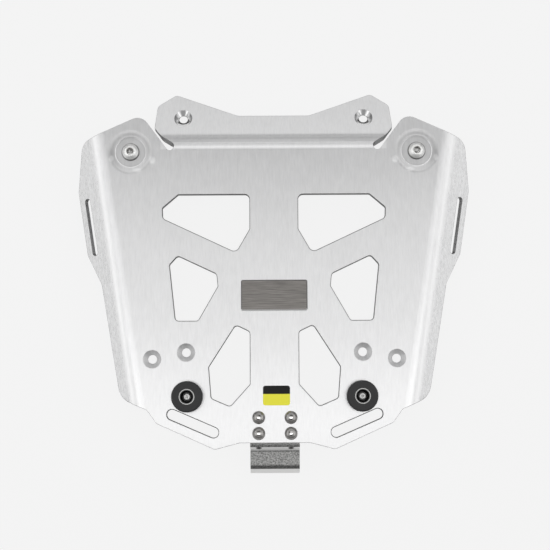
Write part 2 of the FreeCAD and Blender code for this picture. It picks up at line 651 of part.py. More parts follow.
latch_thick = size("latch_thick")
number = 0
for row_y in (size("latch_screw_y"), size("latch_screw_y") - size("latch_pitch")):
    for side in (-1, 1):
        number += 1
        x = side * size("latch_screw_x")
        under = -thick - latch_thick
        button_screw("latch_screw_%d" % number, "mid", Vector(x, row_y, 0), 11.0 * number)
        washer("latch_washer_%d" % number, "mid", Vector(x, row_y, under - size("mid_washer_thick")))
        lock_nut("latch_nut_%d" % number, "mid", Vector(x, row_y, under - size("mid_washer_thick")), 30.0)

# the screws of the ears go on into the motorcycle's own rail
for side, word in ((-1, "left"), (1, "right")):
    button_screw("ear_screw_" + word, "big", Vector(side * size("dish_x"), dish_y, -deep), 15.0 * side)

# rubber pads with their steel cups
pad_high = size("pad_high")
cup_foot = pad_high - size("cup_high")
small_hole = size("small_shank") + size("small_gap")
for side, word in ((-1, "left"), (1, "right")):
    spot = Vector(side * size("pad_x"), size("pad_y"), 0)
    rubber = new_body("pad_rubber_" + word)
    turned(rubber, "rubber", [
        (small_hole, 0.0, 0.0, "Sizes.small_shank + Sizes.small_gap", None, None),
        (size("pad_radius"), 0.0, size("pad_foot"), "Sizes.pad_radius", None, "Sizes.pad_foot"),
        (size("pad_radius"), pad_high, size("pad_edge"), "Sizes.pad_radius", "Sizes.pad_high", "Sizes.pad_edge"),
        (size("cup_out"), pad_high, 0.0, "Sizes.cup_out", "Sizes.pad_high", None),
        (size("cup_out"), cup_foot, 0.0, "Sizes.cup_out", "Sizes.pad_high - Sizes.cup_high", None),
        (small_hole, cup_foot, 0.0, "Sizes.small_shank + Sizes.small_gap", "Sizes.pad_high - Sizes.cup_high", None),
    ])
    rubber.Placement = Placement(home + spot, Rotation())
    cup = new_body("pad_cup_" + word)
    floor = size("cup_floor")
    turned(cup, "cup", [
        (small_hole, 0.0, 0.0, "Sizes.small_shank + Sizes.small_gap", None, None),
        (size("cup_out"), 0.0, 0.0, "Sizes.cup_out", None, None),
        (size("cup_out"), size("cup_high"), size("cup_rim"), "Sizes.cup_out", "Sizes.cup_high", "Sizes.cup_rim"),
        (size("cup_in"), size("cup_high"), size("cup_rim"), "Sizes.cup_in", "Sizes.cup_high", "Sizes.cup_rim"),
        (size("cup_in"), floor, size("cup_root"), "Sizes.cup_in", "Sizes.cup_floor", "Sizes.cup_root"),
        (small_hole, floor, 0.0, "Sizes.small_shank + Sizes.small_gap", "Sizes.cup_floor", None),
    ])
    cup.Placement = Placement(home + spot + Vector(0, 0, cup_foot), Rotation())
    under = -thick - size("small_washer_thick")
    button_screw("pad_screw_" + word, "small", spot + Vector(0, 0, cup_foot + floor), 20.0 * side)
    washer("pad_washer_" + word, "small", spot + Vector(0, 0, under))
    lock_nut("pad_nut_" + word, "small", spot + Vector(0, 0, under), 25.0)

# latch tongue: one folded strip with two adjusting slots
latch = new_body("latch_plate")
bend_half = math.radians(size("latch_angle")) / 2
lip_half = math.radians(size("lip_angle")) / 2
out_r = size("latch_out_radius")
in_r = size("latch_in_radius")
lip_r = size("lip_radius")
back_one = out_r * math.tan(bend_half)
back_two = in_r * math.tan(bend_half)
back_lip = lip_r * math.tan(lip_half)
wall_way = Vector(-math.cos(bend_half * 2), -math.sin(bend_half * 2), 0)
lip_way = Vector(-math.cos(lip_half * 2), -math.sin(lip_half * 2), 0)
rear = Vector(-1, 0, 0)
path = [Vector(size("latch_inner"), -thick, 0), Vector(size("latch_bend_y") - back_one, -thick, 0)]
path.append(path[-1] + wall_way * (back_one + size("latch_wall") + back_two))
path.append(path[-1] + rear * (back_two + size("latch_flat") + back_lip))
path.append(path[-1] + lip_way * (back_lip + size("lip_long")))
ways = [(path[i + 1] - path[i]).normalize() for i in range(4)]
inward = [Vector(-way.y, way.x, 0) for way in ways]
below = [path[0] + inward[0] * latch_thick]
for i in range(1, 4):
    both_ways = inward[i - 1] + inward[i]
    below.append(path[i] + both_ways * (latch_thick / (1 + inward[i - 1].dot(inward[i]))))
below.append(path[4] + inward[3] * latch_thick)
upper_r = [0.0, out_r, in_r, lip_r, 0.0]
lower_r = [0.0, out_r - latch_thick, in_r + latch_thick, lip_r - latch_thick, 0.0]
upper_text = [None, "Sizes.latch_out_radius", "Sizes.latch_in_radius", "Sizes.lip_radius", None]
lower_text = [None, "Sizes.latch_out_radius - Sizes.latch_thick", "Sizes.latch_in_radius + Sizes.latch_thick",
              "Sizes.lip_radius - Sizes.latch_thick", None]
strip = [(path[i].x, path[i].y, upper_r[i], None, None, upper_text[i]) for i in range(5)]
strip += [(below[i].x, below[i].y, lower_r[i], None, None, lower_text[i]) for i in (4, 3, 2, 1, 0)]
strip_sketch = new_sketch(latch, "strip_section", frame(Vector(0, 0, 0), forward, up))
trace(strip_sketch, strip)
strip_pad = pad(latch, strip_sketch, "strip", size("latch_wide"), "Sizes.latch_wide")
strip_pad.Midplane = True
adjust = new_sketch(latch, "adjusting_slots")
for side, sign in ((-1, "-"), (1, "")):
    long_slot(adjust,
              (side * size("latch_screw_x"), size("adjust_top"), sign + "Sizes.latch_screw_x", "Sizes.adjust_top"),
              (side * size("latch_screw_x"), size("adjust_low"), sign + "Sizes.latch_screw_x", "Sizes.adjust_low"),
              (size("adjust_wide") / 2, "Sizes.adjust_wide / 2"))
pocket(latch, adjust, "adjusting_slots_cut")
doc.recompute()
ends = []
for index, edge in enumerate(latch.Shape.Edges, start=1):
    box = edge.BoundBox
    at_side = box.XLength < 0.01 and abs(abs(box.XMin) - size("latch_wide") / 2) < 0.01
    short = abs(edge.Length - latch_thick) < 0.01
    if at_side and short:
        ends.append("Edge%d" % index)
cut_strip = latch.Tip
rounded = latch.newObject("PartDesign::Fillet", "strip_corners")
rounded.Base = (cut_strip, ends)
rounded.Radius = size("latch_corner")
rounded.setExpression("Radius", "Sizes.latch_corner")
latch.Placement = Placement(home, Rotation())


# name plate and label, both bare
def plaque(name, wide, high, texts, thickness, thick_text, radius, radius_text, spot):
    body = new_body(name)
    sketch = new_sketch(body, "outline")
    corners = []
    for sx, sy in ((-1, -1), (1, -1), (1, 1), (-1, 1)):
        corners.append((sx * wide / 2, sy * high / 2, radius, ("-" if sx < 0 else "") + texts[0],
                        ("-" if sy < 0 else "") + texts[1], radius_text))
    trace(sketch, corners)
    pad(body, sketch, "sheet", thickness, thick_text)
    body.Placement = Placement(home + spot, Rotation())
    return body


badge = plaque("name_plate", size("badge_wide"), size("badge_high"), ("Sizes.badge_wide / 2", "Sizes.badge_high / 2"),
               size("badge_thick"), "Sizes.badge_thick", size("badge_corner"), "Sizes.badge_corner",
               Vector(0, size("badge_y"), 0))
doc.recompute()
top_edges = []
for index, edge in enumerate(badge.Shape.Edges, start=1):
    if abs(edge.BoundBox.ZMin - home.z - size("badge_thick")) < 0.001:
        top_edges.append("Edge%d" % index)
flat_badge = badge.Tip
bevel = badge.newObject("PartDesign::Chamfer", "bevel")
bevel.Base = (flat_badge, top_edges)
bevel.Size = size("badge_bevel")
bevel.setExpression("Size", "Sizes.badge_bevel")
plaque("blank_label", size("label_wide"), size("label_high"), ("Sizes.label_wide / 2", "Sizes.label_high / 2"),
       size("label_thick"), "Sizes.label_thick", size("label_corner"), "Sizes.label_corner",
       Vector(size("label_x"), size("label_y"), 0))
doc.recompute()

# check every object and write the parts
for thing in doc.Objects:
    if "Invalid" in thing.State or "Error" in thing.State:
        raise RuntimeError("not built: " + thing.Label)
bodies = [thing for thing in doc.Objects if thing.TypeId == "PartDesign::Body"]
for body in bodies:
    if body.Shape.isNull() or not body.Shape.isValid() or len(body.Shape.Solids) != 1:
        raise RuntimeError("bad shape: " + body.Label)
    body.Shape.exportStep("parts/%s.step" % body.Label)
    box = body.Shape.BoundBox
    print("%-20s volume %9.1f  size %6.1f %6.1f %6.1f" % (body.Label, body.Shape.Volume, box.XLength, box.YLength, box.ZLength))
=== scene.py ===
# Brushed sheet luggage rack seen almost straight down on a pale table. Metres, same frame as the solids.
import json
import math

import bpy
import bmesh
from mathutils import Matrix, Vector


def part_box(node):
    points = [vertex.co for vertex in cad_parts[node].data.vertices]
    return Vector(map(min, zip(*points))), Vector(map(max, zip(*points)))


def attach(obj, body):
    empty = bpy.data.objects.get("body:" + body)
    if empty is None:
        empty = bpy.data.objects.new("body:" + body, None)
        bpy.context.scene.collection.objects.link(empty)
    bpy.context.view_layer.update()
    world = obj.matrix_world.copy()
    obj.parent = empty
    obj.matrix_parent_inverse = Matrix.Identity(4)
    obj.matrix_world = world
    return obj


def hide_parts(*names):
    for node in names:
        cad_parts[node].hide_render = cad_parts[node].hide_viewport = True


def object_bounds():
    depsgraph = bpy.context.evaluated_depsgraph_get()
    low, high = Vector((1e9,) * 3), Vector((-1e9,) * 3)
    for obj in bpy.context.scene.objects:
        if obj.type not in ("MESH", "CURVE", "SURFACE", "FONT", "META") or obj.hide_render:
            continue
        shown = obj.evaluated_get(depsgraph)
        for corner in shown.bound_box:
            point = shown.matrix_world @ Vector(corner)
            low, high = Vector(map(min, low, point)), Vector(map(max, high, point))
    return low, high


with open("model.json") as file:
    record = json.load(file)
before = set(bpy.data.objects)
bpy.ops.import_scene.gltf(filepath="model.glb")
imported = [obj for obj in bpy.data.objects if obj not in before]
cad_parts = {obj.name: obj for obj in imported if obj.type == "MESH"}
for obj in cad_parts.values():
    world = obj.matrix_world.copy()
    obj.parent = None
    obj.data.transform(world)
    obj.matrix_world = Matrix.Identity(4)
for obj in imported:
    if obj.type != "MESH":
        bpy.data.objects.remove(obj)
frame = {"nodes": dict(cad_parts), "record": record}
CAD_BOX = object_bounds()
NODES = frame["nodes"]
MM = 0.001

# camera
VIEW_AIM = Vector((0.7, 62.7, 4.0)) * MM
VIEW_DISTANCE = 0.910
VIEW_ELEVATION = math.radians(84.0)
VIEW_ROLL = math.radians(-0.3)
LENS_MM = 73.1
SENSOR_MM = 36.0


def deselect():
    bpy.ops.object.select_all(action="DESELECT")


def add_camera():
    back = Vector((0.0, -math.cos(VIEW_ELEVATION), math.sin(VIEW_ELEVATION)))
    bpy.ops.object.camera_add(location=VIEW_AIM + back * VIEW_DISTANCE)
    camera = bpy.context.object
    camera.name = "picture_camera"
    camera.data.lens = LENS_MM
    camera.data.sensor_width = SENSOR_MM
    camera.data.clip_start = 0.02
    turn = (-back).to_track_quat("-Z", "Y").to_matrix().to_4x4() @ Matrix.Rotation(VIEW_ROLL, 4, "Z")
    camera.rotation_mode = "QUATERNION"
    camera.rotation_quaternion = turn.to_quaternion()
    bpy.context.scene.camera = camera


add_camera()

# light
LIT_POINT = Vector((0.0, 60.0, 4.0)) * MM
LAMP_REACH = 1.4
LAMPS = [
    # name, degrees round from the viewer's side, degrees down from the zenith, size across, size up, watts
    ("near_top", 0.0, 8.0, 1.8, 0.30, 2.35),
    ("far_top", 180.0, 8.0, 1.8, 0.30, 1.15),
    ("far_high", 180.0, 33.0, 1.8, 0.33, 0.9),
    ("far_mid", 180.0, 48.0, 1.8, 0.38, 1.35),
    ("far_low", 180.0, 70.0, 1.8, 0.76, 1.55),
    ("left_high", -90.0, 33.0, 1.8, 0.33, 0.5),
    ("left_mid", -90.0, 48.0, 1.8, 0.38, 2.45),
    ("left_low", -90.0, 70.0, 1.8, 0.76, 2.1),
    ("right_high", 90.0, 33.0, 1.8, 0.33, 0.6),
    ("right_mid", 90.0, 48.0, 1.8, 0.38, 2.2),
    ("right_low", 90.0, 70.0, 1.8, 0.76, 2.3),
]


def add_lamp(name, round_degrees, down_degrees, wide, tall, watts):
    turn = math.radians(round_degrees)
    down = math.radians(down_degrees)
    way = Vector((math.sin(turn) * math.sin(down), -math.cos(turn) * math.sin(down), math.cos(down)))
    side = Vector((math.cos(turn), math.sin(turn), 0.0))
    bpy.ops.object.light_add(type="AREA", location=LIT_POINT + way * LAMP_REACH)
    lamp = bpy.context.object
    lamp.name = name
    lamp.data.shape = "RECTANGLE"
    lamp.data.size = wide
    lamp.data.size_y = tall
    lamp.data.energy = watts
    # local X across, local Z away from the lit point
    lamp.rotation_mode = "QUATERNION"
    lamp.rotation_quaternion = Matrix((side, way.cross(side), way)).transposed().to_quaternion()


for lamp in LAMPS:
    add_lamp(*lamp)

ROOM_STRENGTH = 0.33
world = bpy.data.worlds.new("pale_room")
bpy.context.scene.world = world
world.use_nodes = True
world.node_tree.nodes["Background"].inputs["Color"].default_value = (1.0, 1.0, 1.0, 1.0)
world.node_tree.nodes["Background"].inputs["Strength"].default_value = ROOM_STRENGTH
bpy.context.scene.view_settings.view_transform = "Standard"


# node helpers
def link(tree, source, target):
    tree.links.new(source, target)


def add_node(tree, kind, **settings):
    node = tree.nodes.new(kind)
    for key, value in settings.items():
        setattr(node, key, value)
    return node


def math_node(tree, operation, a, b=None, clamp=False):
    node = add_node(tree, "ShaderNodeMath", operation=operation, use_clamp=clamp)
    for index, value in enumerate((a, b)):
        if value is None:
            continue
        if isinstance(value, (int, float)):
            node.inputs[index].default_value = value
        else:
            link(tree, value, node.inputs[index])
    return node.outputs[0]


def new_group(name, inputs, outputs):
    group = bpy.data.node_groups.new(name, "ShaderNodeTree")
    for label, kind, value in inputs:
        socket = group.interface.new_socket(name=label, in_out="INPUT", socket_type=kind)
        if value is not None:
            socket.default_value = value
    for label, kind in outputs:
        group.interface.new_socket(name=label, in_out="OUTPUT", socket_type=kind)
    start = add_node(group, "NodeGroupInput")
    end = add_node(group, "NodeGroupOutput")
    return group, start, end


def build_brushing():
    # fine lines along the sheet's length over a soft cloud, in two line widths
    group, start, end = new_group(
        "brushing",
        [("Coord", "NodeSocketVector", None), ("Across", "NodeSocketFloat", 1300.0),
         ("Along", "NodeSocketFloat", 95.0), ("Cloud", "NodeSocketFloat", 45.0)],
        [("Lines", "NodeSocketFloat"), ("Cloud", "NodeSocketFloat")])
    split = add_node(group, "ShaderNodeSeparateXYZ")
    link(group, start.outputs["Coord"], split.inputs[0])
    layers = []
    for share, shift in ((1.0, 0.0), (0.36, 7.3)):
        join = add_node(group, "ShaderNodeCombineXYZ")
        across = math_node(group, "MULTIPLY", split.outputs[0], start.outputs["Across"])
        across = math_node(group, "MULTIPLY", across, share)
        along = math_node(group, "MULTIPLY", split.outputs[1], start.outputs["Along"])
        depth = math_node(group, "MULTIPLY", split.outputs[2], start.outputs["Across"])
        depth = math_node(group, "MULTIPLY", depth, share * 0.4)
        link(group, math_node(group, "ADD", across, shift), join.inputs[0])
        link(group, math_node(group, "ADD", along, shift), join.inputs[1])
        link(group, depth, join.inputs[2])
        noise = add_node(group, "ShaderNodeTexNoise")
        noise.inputs["Scale"].default_value = 1.0
        noise.inputs["Detail"].default_value = 3.0
        noise.inputs["Roughness"].default_value = 0.6
        link(group, join.outputs[0], noise.inputs["Vector"])
        layers.append(noise.outputs["Fac"])
    both = math_node(group, "ADD", layers[0], layers[1])
    link(group, math_node(group, "MULTIPLY", both, 0.5), end.inputs["Lines"])
    cloud = add_node(group, "ShaderNodeTexNoise")
    cloud.inputs["Detail"].default_value = 2.0
    link(group, start.outputs["Coord"], cloud.inputs["Vector"])
    link(group, start.outputs["Cloud"], cloud.inputs["Scale"])
    link(group, cloud.outputs["Fac"], end.inputs["Cloud"])
    return group


def build_uneven_polish():
    # noise as a height, as a tone from 0 to 1 and as a sway from -1 to 1
    group, start, end = new_group(
        "uneven_polish",
        [("Coord", "NodeSocketVector", None), ("Scale", "NodeSocketFloat", 900.0)],
        [("Height", "NodeSocketFloat"), ("Tone", "NodeSocketFloat"), ("Sway", "NodeSocketFloat")])
    noise = add_node(group, "ShaderNodeTexNoise")
    noise.inputs["Detail"].default_value = 4.0
    link(group, start.outputs["Coord"], noise.inputs["Vector"])
    link(group, start.outputs["Scale"], noise.inputs["Scale"])
    link(group, noise.outputs["Fac"], end.inputs["Height"])
    link(group, map_range(group, noise.outputs["Fac"], 0.35, 0.7, 0.0, 1.0), end.inputs["Tone"])
    link(group, map_range(group, noise.outputs["Fac"], 0.3, 0.7, -1.0, 1.0), end.inputs["Sway"])
    return group


def new_material(name, color, roughness, metallic=0.0):
    material = bpy.data.materials.new(name)
    material.use_nodes = True
    shader = material.node_tree.nodes["Principled BSDF"]
    shader.inputs["Base Color"].default_value = (*color, 1.0)
    shader.inputs["Roughness"].default_value = roughness
    shader.inputs["Metallic"].default_value = metallic
    return material, material.node_tree, shader


def object_coord(tree):
    return add_node(tree, "ShaderNodeTexCoord").outputs["Object"]


def map_range(tree, value, low, high, to_low, to_high, kind="LINEAR"):
    node = add_node(tree, "ShaderNodeMapRange", interpolation_type=kind)
    link(tree, value, node.inputs["Value"])
    for label, number in (("From Min", low), ("From Max", high), ("To Min", to_low), ("To Max", to_high)):
        node.inputs[label].default_value = number
    return node.outputs["Result"]


def bump(tree, height, distance, strength=1.0, under=None):
    node = add_node(tree, "ShaderNodeBump")
    node.inputs["Distance"].default_value = distance
    node.inputs["Strength"].default_value = strength
    link(tree, height, node.inputs["Height"])
    if under is not None:
        link(tree, under, node.inputs["Normal"])
    return node.outputs["Normal"]


def mix_color(tree, factor, first, second):
    node = add_node(tree, "ShaderNodeMix", data_type="RGBA")
    link(tree, factor, node.inputs[0])
    for socket, value in ((node.inputs[6], first), (node.inputs[7], second)):
        if isinstance(value, tuple):
            socket.default_value = (*value, 1.0)
        else:
            link(tree, value, socket)
    return node.outputs[2]


BRUSHING = build_brushing()
UNEVEN_POLISH = build_uneven_polish()

# fold line of the wings, dishes of the ears and the screws in them
WING_LINE_SLOPE = math.tan(math.radians(9.0))
WING_LINE_X = (112.4 - 5.7 * WING_LINE_SLOPE) * MM
DISH_X = 118.0 * MM
DISH_Y = 165.4 * MM
DISH_RING = 12.7 * MM
DISH_RAMP_SHADE_RADIUS = 14.9 * MM
HEAD_RIM = 7.1 * MM
SOCKET_MOUTH = 2.7 * MM
# soft dimples that the press left round each dish, each with a painted highlight: outward, forward, reach across and
# along
DIMPLES_AND_HIGHLIGHTS = [(-18.1, -6.6, 3.2, 3.8), (-5.6, -15.3, 4.6, 2.3), (15.6, -5.5, 2.6, 3.2)]

# latch strip: painted shade spots below its slots
SLOT_SHADE_MIDDLE = (13.0 * MM, -77.0 * MM)
SLOT_SHADE_REACH = (2.9 * MM, 1.5 * MM)
# painted highlight: light band on the step of the latch strip
LATCH_HIGHLIGHT_FROM = -76.2 * MM
LATCH_HIGHLIGHT_TO = -79.5 * MM
LIP_FROM = -90.0 * MM
# painted shade: darker strip in the bend above the lip
BEND_SHADE_BAND = (-95.6 * MM, -91.2 * MM)

# countersunk holes: sideways, along and the radius of the rim
DULL_CONES = [(71.6, 0.0, 7.4), (99.0, -5.3, 7.4)]
BRIGHT_CONES = [(76.2, 198.3, 7.6)]
# the upper bend of the joggle with a painted highlight, and the face below it with painted shade
FOLD_HIGHLIGHT_BAND = (166.9 * MM, 174.3 * MM)
STEP_SHADE_BAND = (177.0 * MM, 183.6 * MM)


def band_mask(tree, value, low, high, soft):
    rise = map_range(tree, value, low, low + soft, 0.0, 1.0)
    fall = map_range(tree, value, high - soft, high, 1.0, 0.0)
    return math_node(tree, "MULTIPLY", rise, fall)


def square_sum(tree, first, second):
    return math_node(tree, "ADD", math_node(tree, "MULTIPLY", first, first),
                     math_node(tree, "MULTIPLY", second, second))


def distance(tree, across, along, middle):
    first = math_node(tree, "SUBTRACT", across, middle[0])
    second = math_node(tree, "SUBTRACT", along, middle[1])
    return math_node(tree, "SQRT", square_sum(tree, first, second))


def disc_mask(tree, across, along, middle, radius, soft):
    return map_range(tree, distance(tree, across, along, middle), radius - soft, radius, 1.0, 0.0)


def cone_mask(tree, across, along, cones):
    total = None
    for sideways, forward, rim in cones:
        cone = disc_mask(tree, across, along, (sideways * MM, forward * MM), rim * MM, 0.1 * MM)
        total = cone if total is None else math_node(tree, "ADD", total, cone, True)
    return total


def spot_mask(tree, across, along, middle, reach):
    # soft spot that is 1 in the middle and 0 at its reach
    first = math_node(tree, "DIVIDE", math_node(tree, "SUBTRACT", across, middle[0]), reach[0])
    second = math_node(tree, "DIVIDE", math_node(tree, "SUBTRACT", along, middle[1]), reach[1])
    return map_range(tree, square_sum(tree, first, second), 0.0, 1.0, 1.0, 0.0, "SMOOTHSTEP")


def ring_mask(tree, across, along, middle, radius, half_width, kind="LINEAR"):
    off_ring = math_node(tree, "SUBTRACT", distance(tree, across, along, middle), radius)
    return map_range(tree, math_node(tree, "ABSOLUTE", off_ring), 0.0, half_width, 1.0, 0.0, kind)


def lighten(tree, tone, mask, share, clamp=False):
    return math_node(tree, "ADD", tone, math_node(tree, "MULTIPLY", mask, share), clamp)


def darken(tree, tone, mask, share):
    return math_node(tree, "SUBTRACT", tone, math_node(tree, "MULTIPLY", mask, share))


def sheet_material():
    # brushed aluminium sheet: short lines along the length, coarser on the wings, darker cut edges partly from painted
    # shade, with painted highlights and painted shade at its bends, dish, countersinks and edges
    material, tree, shader = new_material("brushed_sheet", (0.80, 0.80, 0.81), 0.30, 1.0)
    coord = add_node(tree, "ShaderNodeTexCoord")
    grain = add_node(tree, "ShaderNodeGroup", node_tree=BRUSHING)
    link(tree, coord.outputs["Object"], grain.inputs["Coord"])
    place = add_node(tree, "ShaderNodeSeparateXYZ")
    link(tree, coord.outputs["Object"], place.inputs[0])
    facing = add_node(tree, "ShaderNodeSeparateXYZ")
    link(tree, coord.outputs["Normal"], facing.inputs[0])
    side = math_node(tree, "ABSOLUTE", place.outputs[0])
    along = place.outputs[1]
    beyond = math_node(tree, "SUBTRACT", side, math_node(tree, "MULTIPLY", along, WING_LINE_SLOPE))
    on_wing = map_range(tree, beyond, WING_LINE_X + 10 * MM, WING_LINE_X + 13.5 * MM, 0.0, 1.0)
    upright = math_node(tree, "ABSOLUTE", facing.outputs[2])
    cut_edge = map_range(tree, upright, 0.45, 0.54, 1.0, 0.0)
    # the 45 degree chamfers of the deck and its windows
    off_slant = math_node(tree, "ABSOLUTE", math_node(tree, "SUBTRACT", upright, 0.707))
    slant = map_range(tree, off_slant, 0.03, 0.06, 1.0, 0.0)
    on_deck = map_range(tree, along, 0.150, 0.152, 1.0, 0.0)
    chamfer = math_node(tree, "MULTIPLY", slant, on_deck)
    dull_cones = cone_mask(tree, side, along, DULL_CONES)
    bright_cones = cone_mask(tree, side, along, BRIGHT_CONES)
    chamfer = math_node(tree, "MULTIPLY", chamfer, math_node(tree, "SUBTRACT", 1.0, dull_cones))
    # painted shade: thin dark line along every sharp edge, where a rounded normal leaves the true one
    corner = add_node(tree, "ShaderNodeBevel", samples=6)
    corner.inputs["Radius"].default_value = 0.6 * MM
    turned = add_node(tree, "ShaderNodeVectorMath", operation="DOT_PRODUCT")
    link(tree, corner.outputs[0], turned.inputs[0])
    link(tree, coord.outputs["Normal"], turned.inputs[1])
    edge_shade_line = map_range(tree, turned.outputs["Value"], 0.985, 0.90, 0.0, 1.0)
    lines = map_range(tree, grain.outputs["Lines"], 0.36, 0.64, -1.0, 1.0)
    cloud = map_range(tree, grain.outputs["Cloud"], 0.3, 0.7, -1.0, 1.0)
    mottle = add_node(tree, "ShaderNodeTexNoise")
    stretch = add_node(tree, "ShaderNodeMapping")
    stretch.inputs["Scale"].default_value = (950.0, 280.0, 950.0)
    link(tree, coord.outputs["Object"], stretch.inputs["Vector"])
    link(tree, stretch.outputs[0], mottle.inputs["Vector"])
    mottle.inputs["Scale"].default_value = 1.0
    mottle.inputs["Detail"].default_value = 4.0
    wing_marks = map_range(tree, mottle.outputs["Fac"], 0.35, 0.65, -1.0, 1.0)
    wing_marks = math_node(tree, "MULTIPLY", wing_marks, on_wing)
    shade = math_node(tree, "MULTIPLY", lines, 0.034)
    shade = lighten(tree, shade, cloud, 0.008)
    shade = lighten(tree, shade, wing_marks, 0.06)
    tone = math_node(tree, "ADD", shade, 0.80)
    dimples_and_highlights = None
    for across, forward, wide, deep in DIMPLES_AND_HIGHLIGHTS:
        spot = spot_mask(tree, side, along, (DISH_X + across * MM, DISH_Y + forward * MM), (wide * MM, deep * MM))
        dimples_and_highlights = spot if dimples_and_highlights is None else math_node(tree, "ADD", dimples_and_highlights, spot)
    # painted highlight on the dimples, whose shape is also in the bump
    tone = lighten(tree, tone, dimples_and_highlights, 0.15)
    disc = disc_mask(tree, side, along, (DISH_X, DISH_Y), DISH_RING, 0.8 * MM)
    tone = darken(tree, tone, disc, 0.09)
    middle_part = map_range(tree, side, 92.5 * MM, 94 * MM, 1.0, 0.0)
    # painted highlight on the joggle's upper bend, painted shade on the face below it
    fold_highlight = math_node(tree, "MULTIPLY", band_mask(tree, along, *FOLD_HIGHLIGHT_BAND, 1.0 * MM), middle_part)
    step_shade = math_node(tree, "MULTIPLY", band_mask(tree, along, *STEP_SHADE_BAND, 1.2 * MM), middle_part)
    tone = lighten(tree, tone, fold_highlight, 0.13)
    tone = darken(tree, tone, step_shade, 0.10)
    # painted shade on the outer ramp of the dish, heavier on the far side
    ramp_shade = ring_mask(tree, side, along, (DISH_X, DISH_Y), DISH_RAMP_SHADE_RADIUS, 4.4 * MM, "SMOOTHSTEP")
    far_side_weight = map_range(tree, along, DISH_Y - DISH_RAMP_SHADE_RADIUS, DISH_Y + DISH_RAMP_SHADE_RADIUS, 0.45, 1.75)
    ramp_shade = math_node(tree, "MULTIPLY", ramp_shade, far_side_weight)
    tone = darken(tree, tone, ramp_shade, 0.24)
    # painted shade round the foot of each large head
    head_contact_shade = ring_mask(tree, side, along, (DISH_X, DISH_Y), HEAD_RIM, 0.6 * MM)
    tone = darken(tree, tone, head_contact_shade, 0.50)
    # painted highlight along the crease of the dish floor, stronger on the near half; the crease itself is also in the
    # bump
    crease_and_highlight = ring_mask(tree, side, along, (DISH_X, DISH_Y), DISH_RING, 0.42 * MM)
    near_highlight = map_range(tree, along, DISH_Y - 0.4 * DISH_RING, DISH_Y + 0.9 * DISH_RING, 0.30, 0.06)
    tone = lighten(tree, tone, crease_and_highlight, near_highlight, True)
    # painted highlight along the fold of each wing
    bend_highlight = band_mask(tree, beyond, WING_LINE_X - 1 * MM, WING_LINE_X + 10 * MM, 4 * MM)
    tone = lighten(tree, tone, bend_highlight, 0.05, True)
    # painted shade: the outer part of the bend a little darker
    outer_bend_shade = band_mask(tree, beyond, WING_LINE_X + 4.5 * MM, WING_LINE_X + 10.5 * MM, 2.5 * MM)
    tone = darken(tree, tone, outer_bend_shade, 0.09)
    tone = darken(tree, tone, dull_cones, 0.06)
    # painted reflection: the polished countersink darker on its flanks
    off_middle = math_node(tree, "ABSOLUTE", math_node(tree, "SUBTRACT", side, BRIGHT_CONES[0][0] * MM))
    flank_shade = map_range(tree, off_middle, 4.2 * MM, 6.2 * MM, 0.0, 0.5)
    tone = darken(tree, tone, flank_shade, bright_cones)
    tone = math_node(tree, "MULTIPLY", tone, map_range(tree, edge_shade_line, 0.0, 1.0, 1.0, 0.45))
    # painted shade: the rear outline darker than the windows
    rear = map_range(tree, along, -34 * MM, -38 * MM, 0.0, 1.0)
    rounded = add_node(tree, "ShaderNodeSeparateXYZ")
    link(tree, corner.outputs[0], rounded.inputs[0])
    rear_edge_shade = math_node(tree, "MULTIPLY", rear, map_range(tree, rounded.outputs[1], -0.06, -0.30, 0.0, 1.0))
    tone = math_node(tree, "MULTIPLY", tone, map_range(tree, rear_edge_shade, 0.0, 1.0, 1.0, 0.25))
    tint = add_node(tree, "ShaderNodeCombineColor")
    link(tree, tone, tint.inputs[0])
    link(tree, tone, tint.inputs[1])
    link(tree, math_node(tree, "MULTIPLY", tone, 1.004), tint.inputs[2])
    # cut faces darker from the cutting and from painted shade, chamfers dark with painted shade, both darkest on the
    # rear faces turned towards the viewer
    rear = math_node(tree, "MULTIPLY", rear, map_range(tree, facing.outputs[1], -0.15, -0.35, 0.0, 1.0))
    cut_tone_and_shade = mix_color(tree, rear, (0.36, 0.36, 0.36), (0.14, 0.14, 0.14))
    chamfer_shade_tone = mix_color(tree, rear, (0.27, 0.27, 0.27), (0.10, 0.10, 0.10))
    edged = mix_color(tree, cut_edge, tint.outputs[0], cut_tone_and_shade)
    link(tree, mix_color(tree, chamfer, edged, chamfer_shade_tone), shader.inputs["Base Color"])
    rough = math_node(tree, "ADD", math_node(tree, "MULTIPLY", lines, 0.02), 0.30)
    rough = lighten(tree, rough, wing_marks, 0.05)
    rough = darken(tree, rough, bright_cones, 0.13)
    rough = lighten(tree, rough, dull_cones, 0.18)
    link(tree, math_node(tree, "ADD", rough, math_node(tree, "MULTIPLY", cut_edge, 0.12)), shader.inputs["Roughness"])
    fine = bump(tree, math_node(tree, "ADD", lines, math_node(tree, "MULTIPLY", wing_marks, 1.5)), 0.00001, 0.5,
                corner.outputs[0])
    pressed = math_node(tree, "ADD", crease_and_highlight, math_node(tree, "MULTIPLY", dimples_and_highlights, 0.5))
    link(tree, bump(tree, pressed, 0.00016, 1.0, fine), shader.inputs["Normal"])
    return material


